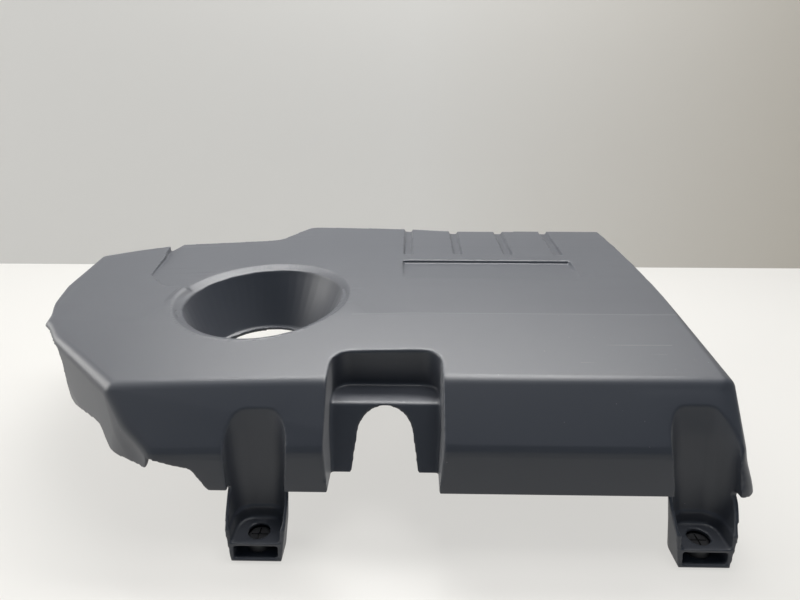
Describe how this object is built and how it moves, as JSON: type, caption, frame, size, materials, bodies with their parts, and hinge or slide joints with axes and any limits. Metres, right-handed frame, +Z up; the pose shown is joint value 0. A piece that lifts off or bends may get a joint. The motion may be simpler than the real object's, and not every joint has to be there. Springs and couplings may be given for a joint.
{
  "type": "engine cover",
  "caption": "Moulded engine cover with a filler funnel, an arched notch and feet with rubber grommets.",
  "frame": {"origin": "bottom centre of the bounding box, at the undersides of the grommets", "axes": "+X to the right along the front skirt, +Y to the rear, +Z up"},
  "size_m": [0.5883, 0.4122, 0.1431],
  "materials": {
    "plastic": "fine matte grain",
    "rubber": "matte"
  },
  "bodies": {
    "root": {"cover": "plastic", "grommet_front_left": "rubber", "grommet_front_right": "rubber", "grommet_rear_left": "rubber", "grommet_rear_right": "rubber"}
  },
  "joints": []
}
